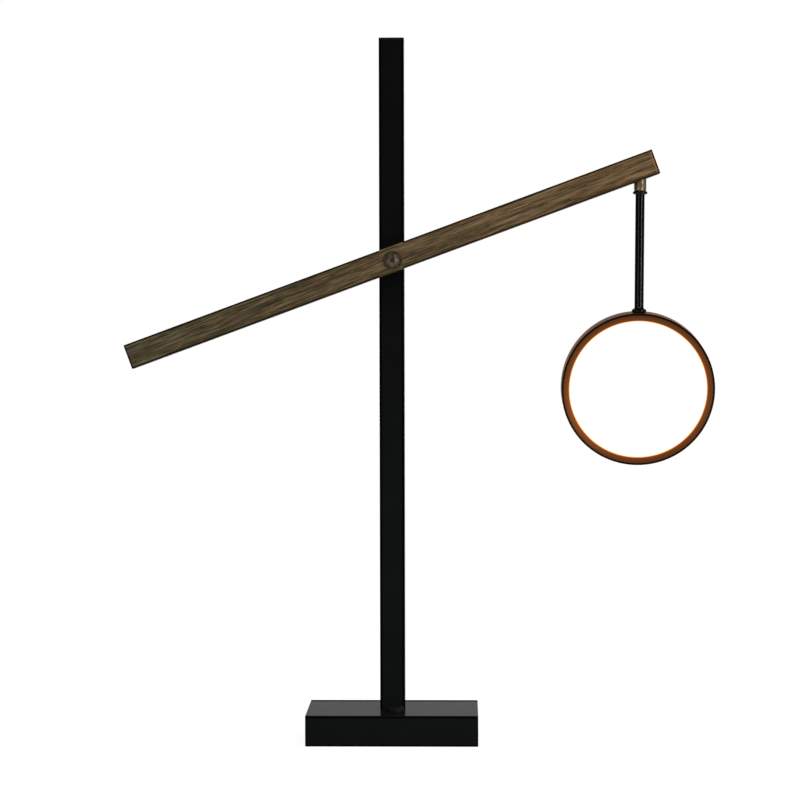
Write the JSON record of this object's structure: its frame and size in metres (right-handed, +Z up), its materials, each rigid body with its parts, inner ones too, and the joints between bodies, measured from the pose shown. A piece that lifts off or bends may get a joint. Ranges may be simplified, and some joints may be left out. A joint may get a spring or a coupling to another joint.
{
  "type": "table lamp",
  "caption": "Table lamp: flat rectangular base, square upright, tilting square arm and a thin round light hanging from it on a rod.",
  "frame": {"origin": "middle of the underside of the base pad", "axes": "+Z up the upright, +X to the right towards the hanging light, +Y to the back; the light faces -Y"},
  "size_m": [0.611, 0.112, 0.732],
  "materials": {
    "black_steel": "satin black paint",
    "black_plastic": "fine matte black",
    "black_rubber": "matte black",
    "felt": "black felt",
    "iron": "as cast",
    "zinc_steel": "zinc plated",
    "friction_fibre": "dark fibre",
    "bush_plastic": "natural acetal",
    "lead_sheath": "black sheath",
    "brown_arm": "brown with olive and red-brown streaks along its length, satin",
    "bronze": "dark bronze, satin",
    "gloss_black": "gloss black",
    "bronze_dark": "dark bronze, satin",
    "opal": "opal, lit",
    "white_plastic": "white",
    "board_white": "white solder mask",
    "diode": "pale yellow, lit"
  },
  "bodies": {
    "stand": {"base_shell": "black_steel", "base_weight": "iron", "bottom_plate": "black_steel", "base_pad": "felt", "bottom_screws": "zinc_steel", "cord_grommet": "black_rubber", "led_driver": "black_plastic", "dimmer_body": "black_plastic", "dimmer_nut": "zinc_steel", "dimmer_lead": "lead_sheath", "post_tube": "black_steel", "post_cap": "black_plastic", "post_foot_plug": "zinc_steel", "post_bolt": "zinc_steel", "post_bolt_washer": "zinc_steel", "post_lead": "lead_sheath", "pivot_spindle": "zinc_steel", "spindle_spacer": "zinc_steel", "rear_washer": "zinc_steel", "pivot_nut": "zinc_steel", "friction_washer": "friction_fibre", "pivot_washer": "bronze", "pivot_screw": "bronze"},
    "arm": {"arm_tube": "brown_arm", "arm_cap_left": "brown_arm", "arm_cap_right": "brown_arm", "pivot_bush": "bush_plastic", "hanger_bracket": "zinc_steel", "hanger_pin": "zinc_steel", "arm_lead": "lead_sheath"},
    "hanger": {"hanger_coupling": "bronze", "swivel_screw": "zinc_steel"},
    "rod": {"swivel_journal": "zinc_steel", "upper_collar": "gloss_black", "rod_tube": "gloss_black", "ball_stud": "zinc_steel", "rod_lead": "lead_sheath"},
    "head": {"socket_body": "zinc_steel", "lower_collar": "gloss_black", "head_housing": "bronze_dark", "trim_ring": "bronze_dark", "diffuser": "opal", "reflector_ring": "white_plastic", "led_board": "board_white", "led_chips": "diode", "board_screws": "zinc_steel", "head_lead": "lead_sheath"},
    "knob": {"dimmer_knob": "black_plastic", "dimmer_shaft": "zinc_steel"}
  },
  "joints": [
    {"name": "arm_tilt", "type": "hinge", "parent": "stand", "child": "arm", "pos_m": [0.0017, -0.0272, 0.5009], "axis": [0, -1, 0], "range_deg": [-30, 10]},
    {"name": "pendant_swing", "type": "hinge", "parent": "arm", "child": "hanger", "pos_m": [0.25702, -0.0272, 0.59612], "axis": [0, -1, 0], "range_deg": [-10, 30]},
    {"name": "head_turn", "type": "hinge", "parent": "hanger", "child": "rod", "pos_m": [0.25681, -0.0272, 0.57203], "axis": [0.0087, 0, 1], "range_deg": [-140, 140]},
    {"name": "disc_tilt", "type": "hinge", "parent": "rod", "child": "head", "pos_m": [0.25571, -0.0272, 0.44573], "axis": [1, 0, -0.0087], "range_deg": [-22, 8]},
    {"name": "dimmer_turn", "type": "hinge", "parent": "stand", "child": "knob", "pos_m": [0.0048, -0.031, 0.036], "axis": [0, 0, -1], "range_deg": [0, 300]}
  ]
}
